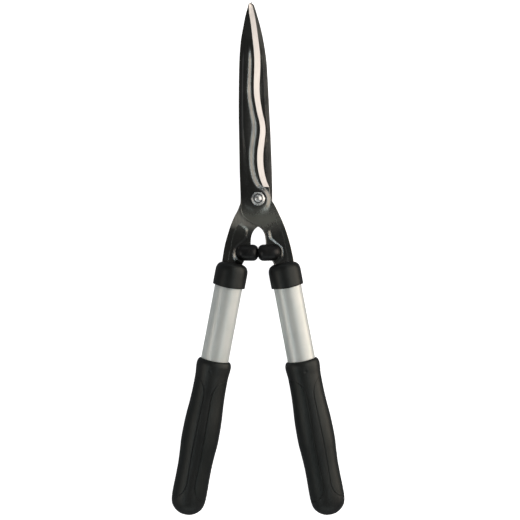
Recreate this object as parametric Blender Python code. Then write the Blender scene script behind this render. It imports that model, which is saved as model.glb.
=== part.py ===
"""Hedge shears: two stamped steel levers on a bolted pivot, with rubber stops between their tangs
and an oval aluminium handle on each tang. Metres, +Z up.

The origin is on the pivot's axis, at the flat end of the bolt's head. +Y runs to the blade tips, +Z
runs up the bolt to its nut. The shears are closed, with the two stops touching.
"""
import math

import bmesh
import bpy
from mathutils import Matrix

MM = 0.001

# Clearance between pieces that touch.
GAP = 0.3 * MM

# Pivot stack, from the bolt's head up to the nut.
BOLT_R = 4.0 * MM
HEX_FLATS = 13.0 * MM
HEAD_H = 5.3 * MM
WASHER_R = 8.0 * MM
WASHER_H = 1.6 * MM
BUSH_R = 5.3 * MM
SPRING_WASHER_R = 7.2 * MM
SPRING_WASHER_H = 1.8 * MM
NUT_H = 8.0 * MM
NUT_COLLAR_H = 2.7 * MM
NUT_COLLAR_R = 6.1 * MM
NYLON_W = 1.0 * MM
NYLON_SEAT = 2.3 * MM
NYLON_SUNK = 0.2 * MM
BUSH_PROUD = 0.3 * MM
BOLT_END_PROUD = 0.9 * MM

# Steel stampings.
STEEL = 3.0 * MM
EMBOSS = 1.6 * MM
EDGE_THICK = 0.4 * MM
BEVEL_W = 6.2 * MM
STRIP_W = 3.0 * MM
RAMP_W = 6.0 * MM
FLANGE_W = 3.4 * MM
HEEL_Y = 13.2 * MM
TANG_TOP_Y = -20.0 * MM
TONGUE_TOP_Y = -74.0 * MM
TONGUE_END_Y = -130.0 * MM
TONGUE_HALF = 9.3 * MM

# Raised plateau: its rounded shoulder, its least width, and its reach round the pivot's boss from
# the flange, above and below the boss's middle.
SHOULDER_W = 1.2 * MM
LEAST_PLATEAU = 1.0 * MM
BOSS_REACH = 26.5 * MM
BOSS_LOW_REACH = 23.0 * MM
BOSS_LOW_Y = -4.0 * MM
BOSS_MARGIN = 3.5 * MM

# Height of the plane where the two levers meet.
MATING_Z = HEAD_H + GAP + WASHER_H + GAP + EMBOSS + STEEL + GAP / 2

# Rubber stops.
BUMPER_R = 9.1 * MM
BUMPER_L = 24.3 * MM
BUMPER_Y = -57.9 * MM
BUMPER_FACE_R = 6.2 * MM
BUMPER_TILT = math.radians(3.0)
BUMPER_CHAMFER = 2.9 * MM
BUMPER_DOME = 6.6 * MM
LUG_X = 5.0 * MM
LUG_HALF = 5.5 * MM
LUG_SHOULDER = 3.0 * MM
LUG_PLATEAU_CUT = 10.0 * MM

# Handles: each axis leans out by this angle and passes this far outboard of the pivot.
HANDLE_ANGLE = math.radians(10.7)
HANDLE_OFFSET = 13.75 * MM
TUBE_A = 15.1 * MM
TUBE_B = 10.0 * MM
TUBE_WALL = 1.5 * MM
TUBE_TOP = 76.5 * MM
TUBE_END = 330.0 * MM
FERRULE_TOP = 72.4 * MM
FERRULE_RIM = 98.3 * MM
INSERT_TOP = 81.0 * MM
INSERT_END = 137.0 * MM
PIN_R = 2.5 * MM
PIN_S = 88.0 * MM
GRIP_TOP = 178.7 * MM
GRIP_END = 348.8 * MM
PAD_TOP = 199.5 * MM
PAD_END = 329.0 * MM
PAD_T = 1.2 * MM
PAD_SEAM = math.radians(16.0)
GRIP_END_SCALE = 0.3
SLOT_HALF = 14.0 * MM
TONGUE_SLOT_HALF = 10.0 * MM

ROUND_STEPS = 24
PIN_STEPS = 16
OVAL_STEPS = 32
PAD_STEPS = 10
PAD_ROWS = 9
DOME_STEPS = 6
# How far a cutter runs past the piece that it cuts.
OVERCUT = 1.0 * MM


def curve(points, t):
    """Value at t of a smooth curve through (t, value) points, by Catmull-Rom slopes."""
    points = sorted(points)
    t = min(max(t, points[0][0]), points[-1][0])
    i = max(k for k in range(len(points) - 1) if points[k][0] <= t)
    (t0, v0), (t1, v1) = points[i], points[i + 1]
    before = points[max(i - 1, 0)]
    after = points[min(i + 2, len(points) - 1)]
    slope0 = (v1 - before[1]) / (t1 - before[0])
    slope1 = (after[1] - v0) / (after[0] - t0)
    span = t1 - t0
    u = (t - t0) / span
    return (
        (2 * u ** 3 - 3 * u ** 2 + 1) * v0
        + (u ** 3 - 2 * u ** 2 + u) * span * slope0
        + (3 * u ** 2 - 2 * u ** 3) * v1
        + (u ** 3 - u ** 2) * span * slope1
    )


def curve_mm(points, t):
    """The same for points and values in millimetres, with t in metres."""
    return curve(points, t / MM) * MM


def straight(points, t):
    """Value at t of straight runs through (t, value) points."""
    points = sorted(points)
    t = min(max(t, points[0][0]), points[-1][0])
    i = max(k for k in range(len(points) - 1) if points[k][0] <= t)
    (t0, v0), (t1, v1) = points[i], points[i + 1]
    return v0 + (v1 - v0) * (t - t0) / (t1 - t0)


def clear_scene():
    for obj in list(bpy.data.objects):
        bpy.data.objects.remove(obj, do_unlink=True)


def material(name, colour, roughness, metallic):
    mat = bpy.data.materials.new(name)
    mat.use_nodes = True
    shader = mat.node_tree.nodes["Principled BSDF"]
    shader.inputs["Base Color"].default_value = (*colour, 1.0)
    shader.inputs["Roughness"].default_value = roughness
    shader.inputs["Metallic"].default_value = metallic
    return mat


def empty(name, parent=None, location=(0, 0, 0), turn=0.0):
    obj = bpy.data.objects.new(name, None)
    obj.location = location
    obj.rotation_euler = (0, 0, turn)
    obj.parent = parent
    bpy.context.collection.objects.link(obj)
    return obj


def finish(name, bm, mat, parent=None, sharp=30.0):
    """Turn a bmesh into a named, smooth-shaded object."""
    bmesh.ops.recalc_face_normals(bm, faces=bm.faces)
    mesh = bpy.data.meshes.new(name)
    bm.to_mesh(mesh)
    bm.free()
    mesh.shade_smooth()
    mesh.set_sharp_from_angle(angle=math.radians(sharp))
    if mat is not None:
        mesh.materials.append(mat)
    obj = bpy.data.objects.new(name, mesh)
    obj.parent = parent
    bpy.context.collection.objects.link(obj)
    return obj


def skin(rings):
    """Closed bmesh through rings of equal length, each a list of points, with capped ends."""
    bm = bmesh.new()
    loops = [[bm.verts.new(point) for point in ring] for ring in rings]
    count = len(loops[0])
    for low, high in zip(loops, loops[1:]):
        for i in range(count):
            j = (i + 1) % count
            bm.faces.new((low[i], low[j], high[j], high[i]))
    bm.faces.new(loops[0])
    bm.faces.new(list(reversed(loops[-1])))
    return bm


def cylinder(radius, z0, z1, segments=ROUND_STEPS, centre=(0, 0)):
    bm = bmesh.new()
    place = Matrix.Translation((centre[0], centre[1], (z0 + z1) / 2))
    bmesh.ops.create_cone(
        bm, cap_ends=True, segments=segments, radius1=radius, radius2=radius,
        depth=z1 - z0, matrix=place,
    )
    return bm


def block(x0, x1, y0, y1, z0, z1):
    bm = bmesh.new()
    middle = Matrix.Translation(((x0 + x1) / 2, (y0 + y1) / 2, (z0 + z1) / 2))
    size = Matrix.Diagonal((x1 - x0, y1 - y0, z1 - z0, 1.0))
    bmesh.ops.create_cube(bm, size=1.0, matrix=middle @ size)
    return bm


def cut(obj, name, bm, operation="DIFFERENCE"):
    """Cut a bmesh out of an object, in the object's own frame."""
    cutter = finish(name, bm, None, parent=obj.parent)
    cutter.hide_render = True
    cutter.display_type = "WIRE"
    boolean = obj.modifiers.new(name, "BOOLEAN")
    boolean.object = cutter
    boolean.operation = operation


# Levers

# Outline of the front lever as (y, x) points in millimetres: the blade's back, the lower left edge,
# then the inner edge of the tang.
FRONT_LEFT = [
    (211.4, -9.4), (209.5, -10.5), (207, -11.1), (199, -13.4), (186, -16.0), (170, -18.7), (150, -20.2),
    (120, -20.8), (90, -20.9), (60, -20.4), (30, -19.9), (2, -19.0), (-7, -19.2), (-12, -18.9),
    (-16.6, -17.6), (-21.1, -13.7), (-25.5, -8.2), (-28.2, -2.7), (-30.0, 0.8), (-33.0, 4.3),
    (-38, 6.9), (-44, 8.0), (-49, 8.4), (-55, 9.6), (-62, 12.4), (-68, 15.9), (-74, 18.9),
]
# The wavy cutting edge, from the tip to its heel.
CUTTING_EDGE = [
    (211.4, -7.0), (208.8, -6.1), (204, -4.9), (199, -3.8), (193, -2.7), (183, -1.2), (170, 0.5), (157, 2.1),
    (147, 2.4), (137, 2.2), (125, 1.6), (117, 1.5), (109, 2.1), (100, 3.5), (92, 5.0), (84, 7.0),
    (77, 7.9), (71, 7.9), (60, 6.7), (52, 5.8), (44, 5.5), (36, 5.8), (28, 7.0), (20, 9.1),
    (13.2, 11.9),
]
# The tang's outer edge, from the heel of the cutting edge down.
FRONT_RIGHT = [
    (13.2, 11.9), (3.6, 13.4), (-1.8, 15.0), (-5.1, 17.2), (-11.6, 20.6), (-18, 23.6),
    (-24.5, 26.6), (-31, 29.2), (-37.5, 31.4), (-44, 33.4), (-50.4, 35.1), (-57, 36.6),
    (-63.4, 37.9), (-74, 39.6),
]
# The same for the rear lever, whose blade leans 4 degrees further across.
REAR_RIGHT = [
    (211.4, -6.0), (210, -4.7), (207, -3.5), (199, -1.0), (186, 2.6), (176, 4.9), (163, 7.2), (150, 9.0),
    (131, 10.3), (112, 11.3), (92, 12.3), (73, 13.3), (53, 14.1), (34, 14.8), (14, 15.3),
    (1, 15.4), (-12, 15.5), (-17, 14.3), (-21.5, 11.5), (-25.5, 7.0), (-28.2, 2.4), (-30.0, -0.8),
    (-33.0, -4.1), (-38, -6.7), (-44, -7.8), (-49, -8.1), (-55, -9.4), (-62, -12.3),
    (-68, -15.8), (-74, -18.8),
]
REAR_LEFT = [
    (13.2, -15.4), (3.6, -16.2), (-1.8, -17.6), (-5.1, -19.4), (-11.6, -22.0), (-18, -25.4),
    (-24.5, -28.3), (-31, -30.7), (-37.5, -32.7), (-44, -34.6), (-50.4, -36.2), (-57, -37.4),
    (-63.4, -38.4), (-74, -39.9),
]
# The raised plateau's two borders as (y, distance from the tang's inner edge, and from its outer).
TANG_INNER_STRIP = [
    (-30, 12.0), (-34, 5.4), (-42, 5.8), (-46, 9.5), (-51, 15.5), (-58, 16.0), (-64, 11.5), (-72, 8.0),
]
TANG_OUTER_STRIP = [(-27, 5.6), (-45, 5.0), (-72, 4.6)]
# How far the plateau has risen, 0 to 1, down the lever's length.
PLATEAU_RISE = [
    (212, 0), (166, 0), (152, 1), (60, 1), (-8, 1), (-12, 1), (-15.5, 0), (-20, 0), (-27, 0),
    (-31, 1), (-40, 1), (-64, 1), (-70, 0), (-75, 0), (-131, 0),
]


def blade_width(y):
    return curve_mm(CUTTING_EDGE, y) - curve_mm(FRONT_LEFT, y)


def tongue_centre(y):
    """The handle's axis at a height y, for the tongue that goes down the tube."""
    s = (HANDLE_OFFSET * math.sin(HANDLE_ANGLE) - y) / math.cos(HANDLE_ANGLE)
    return HANDLE_OFFSET * math.cos(HANDLE_ANGLE) + s * math.sin(HANDLE_ANGLE)


def lug_reach(y):
    """1 where the lug inside the rubber stop stands out of the tang's inner edge, else 0."""
    return 1.0 if abs(y - BUMPER_Y) <= LUG_HALF else 0.0


def inner_edge(points, y, side):
    if y < TONGUE_TOP_Y:
        return side * (tongue_centre(y) - TONGUE_HALF)
    edge = side * curve_mm(points, y)
    if lug_reach(y):
        edge = min(edge, LUG_X)
    return side * edge


def outer_edge(points, y, side):
    if y < TONGUE_TOP_Y:
        return side * (tongue_centre(y) + TONGUE_HALF)
    return curve_mm(points, y)


def lever_span(y, front):
    """The lever's back or inner edge, and its cutting or outer edge, at a height y."""
    if y > HEEL_Y:
        if front:
            return curve_mm(FRONT_LEFT, y), curve_mm(CUTTING_EDGE, y)
        back = curve_mm(REAR_RIGHT, y)
        return back, back - blade_width(y)
    side = 1 if front else -1
    if front:
        return inner_edge(FRONT_LEFT, y, side), outer_edge(FRONT_RIGHT, y, side)
    return inner_edge(REAR_RIGHT, y, side), outer_edge(REAR_LEFT, y, side)


def plateau(y, width):
    """Distances from the back edge at which the plateau starts and ends, tops of its ramps."""
    if y < TANG_TOP_Y:
        start = curve_mm(TANG_INNER_STRIP, y)
        end = width - curve_mm(TANG_OUTER_STRIP, y)
        return start, end - start
    start = FLANGE_W
    if y > HEEL_Y:
        room = width - start - BEVEL_W - STRIP_W
    else:
        reach = BOSS_REACH if y > BOSS_LOW_Y else BOSS_LOW_REACH
        room = min(width - start - BOSS_MARGIN, reach)
    return start, max(room, LEAST_PLATEAU)


def lever_section(y, front):
    """Nine points round the lever's section at a height y, seen along its length."""
    back, edge = lever_span(y, front)
    turn = 1 if edge > back else -1
    width = abs(edge - back)
    if y > HEEL_Y:
        # The ground bevel takes at most this share of the narrow tip.
        bevel, edge_height = min(BEVEL_W, 0.55 * width), EDGE_THICK
    else:
        # Below the heel the edge is only broken.
        bevel, edge_height = 0.3 * MM, STEEL - 0.1 * MM
    rise = EMBOSS * straight(PLATEAU_RISE, y / MM)
    start, room = plateau(y, width)
    if lug_reach(y):
        start += abs(lever_span(y + 2 * LUG_HALF, front)[0]) + LUG_SHOULDER - LUG_X
        room -= LUG_PLATEAU_CUT
    elif y > TANG_TOP_Y:
        # Near the tip the flange narrows with the blade.
        start = min(start, 0.3 * width)
    room = max(min(room, width - bevel - start - GAP), 0.08 * width)
    ramp = min(RAMP_W, 0.5 * room)
    shoulder = SHOULDER_W if room > RAMP_W else 0.1 * room
    across = [
        (0, 0),
        (width, 0),
        (width, edge_height),
        (width - bevel, STEEL),
        (start + room, STEEL),
        (start + room - ramp, STEEL + rise),
        (start + shoulder, STEEL + rise),
        (start, STEEL),
        (0, STEEL),
    ]
    outward = 1 if front else -1
    base = MATING_Z + outward * GAP / 2
    return [(back + turn * x, y, base + outward * z) for x, z in across]


def lever_stations():
    """Heights in millimetres, top first, of the lever's sections, closer where its outline turns."""
    stations = [211.4, 209.6, 206, 202, 197, 191, 184, 176, 170, 166, 161, 156, 152]
    stations += [146 - 6.5 * i for i in range(20)]
    stations += [16.5, 13.3, 13.1, 8, 4, 0, -4, -8, -12, -15.5, -18, -20.5, -23, -25.5, -27.5]
    stations += [-29.3, -31, -33, -36, -40, -44, -48, -52.3, -52.5, -58, -63.3, -63.5, -66]
    stations += [-70, -73.9, -74.1, -84, -100, TONGUE_END_Y / MM]
    return [y * MM for y in stations]


def lever(name, mat, parent, front):
    rings = [lever_section(y, front) for y in lever_stations()]
    obj = finish(name, skin(rings), mat, parent, sharp=20.0)
    hole = BUSH_R + GAP if front else BOLT_R + GAP
    reach = 3 * STEEL
    cut(obj, name + "_hole", cylinder(hole, MATING_Z - reach, MATING_Z + reach))
    side = 1 if front else -1
    x = side * (HANDLE_OFFSET * math.cos(HANDLE_ANGLE) + PIN_S * math.sin(HANDLE_ANGLE))
    y = HANDLE_OFFSET * math.sin(HANDLE_ANGLE) - PIN_S * math.cos(HANDLE_ANGLE)
    pin_hole = cylinder(PIN_R + GAP, MATING_Z - reach, MATING_Z + reach, PIN_STEPS, centre=(x, y))
    cut(obj, name + "_pin_hole", pin_hole)


# Pivot

def ring(name, mat, outer, inner, z0, z1, parent=None):
    obj = finish(name, cylinder(outer, z0, z1), mat, parent)
    cut(obj, name + "_hole", cylinder(inner, z0 - OVERCUT, z1 + OVERCUT))


def hexagon(z0, z1):
    bm = cylinder(HEX_FLATS / 2 / math.cos(math.pi / 6), z0, z1, segments=6)
    bmesh.ops.rotate(bm, verts=bm.verts, cent=(0, 0, 0), matrix=Matrix.Rotation(math.pi / 2, 3, "Z"))
    return bm


def pivot(steel, zinc, nylon):
    washer_z = HEAD_H + GAP
    bush_top = MATING_Z + GAP / 2 + STEEL + EMBOSS + BUSH_PROUD
    spring_z = bush_top + GAP
    nut_z = spring_z + SPRING_WASHER_H + GAP
    nut_top = nut_z + NUT_H
    bolt = finish("pivot_bolt", hexagon(0, HEAD_H), zinc, sharp=20.0)
    shank = cylinder(BOLT_R, HEAD_H - OVERCUT, nut_top + BOLT_END_PROUD)
    cut(bolt, "bolt_shank", shank, "UNION")
    ring("rear_washer", zinc, WASHER_R, BOLT_R + GAP, washer_z, washer_z + WASHER_H)
    ring("pivot_bush", steel, BUSH_R, BOLT_R + GAP, MATING_Z + GAP, bush_top)
    ring("spring_washer", zinc, SPRING_WASHER_R, BOLT_R + GAP, spring_z, spring_z + SPRING_WASHER_H)
    nut = finish("pivot_nut", hexagon(nut_z, nut_top - NUT_COLLAR_H), zinc, sharp=20.0)
    collar = cylinder(NUT_COLLAR_R, nut_top - NUT_COLLAR_H - OVERCUT, nut_top)
    cut(nut, "nut_collar", collar, "UNION")
    cut(nut, "nut_bore", cylinder(BOLT_R + GAP, nut_z - OVERCUT, nut_top + OVERCUT))
    ring_r = BOLT_R + GAP + NYLON_W
    seat_z = nut_top - NYLON_SEAT
    cut(nut, "nylon_seat", cylinder(ring_r + GAP, seat_z, nut_top + OVERCUT))
    ring("nylon_ring", nylon, ring_r, BOLT_R + GAP, seat_z + GAP, nut_top - NYLON_SUNK)


# Rubber stops

def bumper(name, mat, parent, front):
    """A short rubber barrel, domed at its outer end, slotted over the lug on the tang's edge."""
    side = 1 if front else -1
    mid_z = MATING_Z + side * (GAP / 2 + STEEL / 2)
    # The tilt brings the lower rim of the face nearer the middle.
    x0 = GAP / 2 + BUMPER_FACE_R * math.sin(BUMPER_TILT)
    profile = [(x0, BUMPER_FACE_R), (x0 + BUMPER_CHAMFER, BUMPER_R)]
    dome_x = x0 + BUMPER_L - BUMPER_DOME
    for i in range(DOME_STEPS):
        a = math.pi / 2 * i / DOME_STEPS
        profile.append((dome_x + BUMPER_DOME * math.sin(a), BUMPER_R * math.cos(a)))
    rings = []
    for x, r in profile:
        angles = [2 * math.pi * k / ROUND_STEPS for k in range(ROUND_STEPS)]
        rings.append([(x, r * math.cos(a), r * math.sin(a)) for a in angles])
    bm = skin(rings)
    tilt = Matrix.Rotation(BUMPER_TILT, 4, "Z")
    place = Matrix.Translation((0, BUMPER_Y, mid_z))
    bmesh.ops.transform(bm, matrix=place @ tilt, verts=bm.verts)
    if not front:
        bmesh.ops.scale(bm, vec=(-1, 1, 1), verts=bm.verts)
    obj = finish(name, bm, mat, parent)
    slot_end = LUG_X - GAP
    half = STEEL / 2 + GAP
    x_low, x_high = sorted((side * slot_end, side * 2 * BUMPER_L))
    y_low, y_high = BUMPER_Y - 2 * BUMPER_R, BUMPER_Y + 2 * BUMPER_R
    cut(obj, name + "_slot", block(x_low, x_high, y_low, y_high, mid_z - half, mid_z + half))


# Handles, made in a frame whose origin is on the handle's axis beside the pivot, -Y down the handle

def oval(a, b, s):
    """Ring of points round an oval section, s below the frame's origin."""
    angles = [2 * math.pi * k / OVAL_STEPS for k in range(OVAL_STEPS)]
    return [(a * math.cos(t), -s, MATING_Z + b * math.sin(t)) for t in angles]


def oval_bar(a, b, s0, s1):
    return skin([oval(a, b, s0), oval(a, b, s1)])


# Ferrule's half width and half depth down its length from its top, in millimetres.
FERRULE_PROFILE = [
    (0.0, 9.5, 8.2), (1.0, 12.4, 10.6), (2.6, 15.0, 12.4), (5.0, 16.6, 13.4), (8.0, 17.4, 13.9),
    (12.0, 17.55, 14.0), (25.0, 17.55, 14.0), (25.9, 17.1, 13.6),
]

# Grip's half width and half depth down its length from its top, in millimetres.
GRIP_PROFILE = [
    (0, 16.4, 11.6), (2.6, 17.8, 12.6), (6.0, 18.8, 13.2), (11.0, 18.6, 13.0), (17.0, 18.0, 12.6),
    (36.0, 18.0, 12.5), (50.0, 18.7, 12.9), (62.0, 19.6, 13.6), (74.0, 20.1, 14.0), (90.0, 20.1, 14.0),
    (101.0, 19.3, 13.5), (115.0, 18.5, 13.0), (130.0, 18.45, 13.0), (145.0, 18.7, 13.2),
    (154.0, 18.5, 13.0), (160.4, 17.0, 12.0), (166.0, 12.0, 8.6), (169.0, 6.8, 5.0),
]


def grip_size(s):
    down = (s - GRIP_TOP) / MM
    half_width = curve([(d, a) for d, a, b in GRIP_PROFILE], down) * MM
    half_depth = curve([(d, b) for d, a, b in GRIP_PROFILE], down) * MM
    return half_width, half_depth


def grip_ring(s, depth):
    """Ring of the grip core, sunk by a depth under the two side panels."""
    a, b = grip_size(s)
    edge = math.pi / 2 - PAD_SEAM
    wall = GAP / b
    points = []
    for side in (0, math.pi):
        angles = [edge * (2 * k / PAD_STEPS - 1) for k in range(PAD_STEPS + 1)]
        points.append((side - edge - 2 * wall, 0))
        points += [(side + t, depth) for t in angles]
        points.append((side + edge + 2 * wall, 0))
        points.append((side + math.pi / 2, 0))
    ring_points = []
    for t, sunk in points:
        ring_points.append(((a - sunk) * math.cos(t), -s, MATING_Z + (b - sunk) * math.sin(t)))
    return ring_points


def grip_core(name, mat, parent):
    pocket = PAD_T + GAP
    lip = 0.2 * MM
    stations = [(GRIP_TOP + d * MM, 0) for d in (0, 2.6, 6, 11, 16)]
    stations += [(PAD_TOP - GAP - lip, 0), (PAD_TOP - GAP, pocket)]
    for i in range(1, PAD_ROWS):
        stations.append((PAD_TOP + (PAD_END - PAD_TOP) * i / PAD_ROWS, pocket))
    stations += [(PAD_END + GAP, pocket), (PAD_END + GAP + lip, 0)]
    stations += [(GRIP_TOP + d * MM, 0) for d in (154, 158, 162, 166, 169)]
    rings = [grip_ring(s, depth) for s, depth in stations]
    end = []
    for x, y, z in rings[-1]:
        end.append((x * GRIP_END_SCALE, -GRIP_END, MATING_Z + (z - MATING_Z) * GRIP_END_SCALE))
    rings.append(end)
    obj = finish(name, skin(rings), mat, parent, sharp=35.0)
    cut(obj, name + "_bore", oval_bar(TUBE_A + GAP, TUBE_B + GAP, GRIP_TOP - OVERCUT, TUBE_END + GAP))


def grip_pad(name, mat, parent, side):
    """Soft panel that fills the pocket along one side of the grip core."""
    edge = math.pi / 2 - PAD_SEAM
    middle = 0 if side > 0 else math.pi
    rings = []
    for i in range(PAD_ROWS + 1):
        s = PAD_TOP + (PAD_END - PAD_TOP) * i / PAD_ROWS
        a, b = grip_size(s)
        inset = GAP / b
        angles = [middle + (edge - inset) * (2 * k / PAD_STEPS - 1) for k in range(PAD_STEPS + 1)]
        outer = [(a * math.cos(t), -s, MATING_Z + b * math.sin(t)) for t in angles]
        a -= PAD_T
        b -= PAD_T
        inner = [(a * math.cos(t), -s, MATING_Z + b * math.sin(t)) for t in angles]
        rings.append(outer + list(reversed(inner)))
    finish(name, skin(rings), mat, parent, sharp=35.0)


def ferrule(name, mat, parent, plate_z, outward):
    rings = [oval(a * MM, b * MM, FERRULE_TOP + d * MM) for d, a, b in FERRULE_PROFILE]
    obj = finish(name, skin(rings), mat, parent, sharp=35.0)
    pocket = oval_bar(TUBE_A + GAP, TUBE_B + GAP, TUBE_TOP - GAP, FERRULE_RIM + OVERCUT)
    cut(obj, name + "_pocket", pocket)
    inner_z = plate_z - outward * (STEEL / 2 + GAP)
    outer_z = plate_z + outward * (STEEL / 2 + EMBOSS + GAP)
    low_z, high_z = sorted((inner_z, outer_z))
    slot_top = -FERRULE_TOP + 5 * OVERCUT
    slot = block(-SLOT_HALF, SLOT_HALF, -TUBE_TOP - OVERCUT, slot_top, low_z, high_z)
    cut(obj, name + "_slot", slot)


def handle(side_name, side, parent, mats):
    """Everything on one handle: side is 1 for the right handle, -1 for the left."""
    turn = side * HANDLE_ANGLE
    at = (side * HANDLE_OFFSET * math.cos(turn), HANDLE_OFFSET * math.sin(HANDLE_ANGLE), 0)
    frame = empty(side_name + "_handle_frame", parent, at, turn)
    plate_z = MATING_Z + side * (GAP / 2 + STEEL / 2)

    tube = finish(side_name + "_tube", oval_bar(TUBE_A, TUBE_B, TUBE_TOP, TUBE_END), mats["tube"], frame)
    bore = oval_bar(TUBE_A - TUBE_WALL, TUBE_B - TUBE_WALL, TUBE_TOP - OVERCUT, TUBE_END + OVERCUT)
    cut(tube, side_name + "_tube_bore", bore)

    insert_a = TUBE_A - TUBE_WALL - GAP
    insert_b = TUBE_B - TUBE_WALL - GAP
    insert = finish(
        side_name + "_tang_insert", oval_bar(insert_a, insert_b, INSERT_TOP, INSERT_END),
        mats["insert"], frame,
    )
    half = STEEL / 2 + GAP
    slot_y0, slot_y1 = -INSERT_END - OVERCUT, -INSERT_TOP + OVERCUT
    slot = block(-TONGUE_SLOT_HALF, TONGUE_SLOT_HALF, slot_y0, slot_y1, plate_z - half, plate_z + half)
    cut(insert, side_name + "_tongue_slot", slot)

    # The pin's ends stop just under the tube's skin.
    pin_half = TUBE_B - 2 * GAP
    at_pin = (0, -PIN_S)
    pin = cylinder(PIN_R, MATING_Z - pin_half, MATING_Z + pin_half, PIN_STEPS, at_pin)
    finish(side_name + "_tang_pin", pin, mats["pin"], frame)
    for host in (tube, insert):
        z0, z1 = MATING_Z - TUBE_B - OVERCUT, MATING_Z + TUBE_B + OVERCUT
        cut(host, host.name + "_pin_hole", cylinder(PIN_R + GAP, z0, z1, PIN_STEPS, at_pin))
    ferrule(side_name + "_ferrule", mats["ferrule"], frame, plate_z, side)
    grip_core(side_name + "_grip_core", mats["core"], frame)
    grip_pad(side_name + "_outer_pad", mats["pad"], frame, side)
    grip_pad(side_name + "_inner_pad", mats["pad"], frame, -side)


def build():
    clear_scene()
    blade_steel = material("blade_steel", (0.055, 0.057, 0.054), 0.34, 0.9)
    zinc = material("zinc", (0.72, 0.72, 0.70), 0.28, 1.0)
    bush_steel = material("bush_steel", (0.45, 0.44, 0.42), 0.35, 1.0)
    nylon = material("nylon", (0.12, 0.14, 0.20), 0.5, 0.0)
    rubber = material("rubber", (0.012, 0.012, 0.012), 0.55, 0.0)
    mats = {
        "tube": material("tube_aluminium", (0.60, 0.60, 0.58), 0.35, 0.85),
        "insert": material("insert_plastic", (0.05, 0.05, 0.05), 0.6, 0.0),
        "pin": material("pin_steel", (0.5, 0.5, 0.5), 0.3, 1.0),
        "ferrule": material("ferrule_plastic", (0.018, 0.018, 0.018), 0.42, 0.0),
        "core": material("grip_plastic", (0.02, 0.02, 0.02), 0.45, 0.0),
        "pad": material("grip_rubber", (0.014, 0.014, 0.014), 0.6, 0.0),
    }
    front = empty("front_lever_pivot", location=(0, 0, 0))
    lever("rear_lever", blade_steel, None, front=False)
    lever("front_lever", blade_steel, front, front=True)
    pivot(bush_steel, zinc, nylon)
    bumper("left_bumper", rubber, None, front=False)
    bumper("right_bumper", rubber, front, front=True)
    handle("left", -1, None, mats)
    handle("right", 1, front, mats)


build()
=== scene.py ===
"""Hedge shears: two pressed-steel levers on a bolted pivot, with rubber stops and long oval handles.

Metres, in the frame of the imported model: the origin is at the flat end of the pivot bolt's head, +Y
runs to the blade tips and +Z from the bolt's head to its nut. The right handle's lever is in front.
"""
import math

import bmesh
import bpy
from mathutils import Matrix, Vector


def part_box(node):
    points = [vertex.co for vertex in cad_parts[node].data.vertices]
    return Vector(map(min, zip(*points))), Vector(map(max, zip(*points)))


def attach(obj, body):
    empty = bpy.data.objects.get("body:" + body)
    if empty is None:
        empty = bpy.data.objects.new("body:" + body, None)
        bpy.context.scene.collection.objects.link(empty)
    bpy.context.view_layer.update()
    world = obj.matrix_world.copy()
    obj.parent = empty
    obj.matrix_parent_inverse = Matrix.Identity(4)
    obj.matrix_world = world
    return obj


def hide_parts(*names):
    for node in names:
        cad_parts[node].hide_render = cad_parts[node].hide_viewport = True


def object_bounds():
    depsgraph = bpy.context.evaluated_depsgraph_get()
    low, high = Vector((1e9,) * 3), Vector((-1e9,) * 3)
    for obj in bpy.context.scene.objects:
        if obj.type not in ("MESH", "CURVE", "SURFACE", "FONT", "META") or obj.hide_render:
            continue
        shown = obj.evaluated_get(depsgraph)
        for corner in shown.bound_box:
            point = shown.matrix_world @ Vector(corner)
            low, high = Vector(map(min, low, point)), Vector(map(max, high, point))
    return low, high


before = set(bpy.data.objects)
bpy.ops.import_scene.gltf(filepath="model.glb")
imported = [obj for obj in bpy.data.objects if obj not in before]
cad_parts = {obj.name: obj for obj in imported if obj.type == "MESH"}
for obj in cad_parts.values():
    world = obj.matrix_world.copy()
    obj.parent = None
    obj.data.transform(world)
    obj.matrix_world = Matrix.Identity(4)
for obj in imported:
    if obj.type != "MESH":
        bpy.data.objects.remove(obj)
cad_low, cad_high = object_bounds()


# Levers
# Each is one piece of 3 mm steel plate: a blade with a wavy cutting edge, a round boss for the pivot
# and a tang. It is pressed with a raised plateau for stiffness, coated dark, and ground along its edge.

MM = 0.001
STEEL = 3.0
EMBOSS = 1.6
RECESS = 1.45
GAP = 0.3
EDGE_LAND = 0.4
HEEL_Y = 13.2
TONGUE_TOP_Y = -74.0
TONGUE_HALF = 9.3
HANDLE_LEAN = math.radians(10.7)
HANDLE_OUT = 13.75
PIN_DOWN = 88.0
MATING_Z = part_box("front_lever")[0].z / MM - GAP / 2

# Outlines as (y, x) in millimetres, with the pivot at the origin.
FRONT_BACK = [
    (211.5, -9.3), (209.5, -10.5), (207, -11.1), (199, -13.4), (186, -16.0), (170, -18.7), (150, -20.2),
    (120, -20.8), (90, -20.9), (60, -20.4), (30, -19.9), (2, -19.0), (-7, -19.2), (-12, -18.9),
    (-16.6, -17.6), (-21.1, -13.7), (-25.5, -8.2), (-28.2, -2.7), (-30.0, 0.8), (-33.0, 4.3),
    (-38, 6.9), (-44, 8.0), (-49, 8.4), (-55, 9.6), (-62, 12.4), (-68, 15.9), (-74, 18.9),
]
CUTTING_EDGE = [
    (211.5, -7.0), (208.8, -6.1), (204, -4.9), (199, -3.8), (193, -2.7), (183, -1.2), (170, 0.5),
    (157, 2.1), (147, 2.4), (137, 2.2), (125, 1.6), (117, 1.5), (109, 2.1), (100, 3.5), (92, 5.0),
    (84, 7.0), (77, 7.9), (71, 7.9), (60, 6.7), (52, 5.8), (44, 5.5), (36, 5.8), (28, 7.0), (20, 9.1),
    (13.2, 11.9),
]
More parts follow.
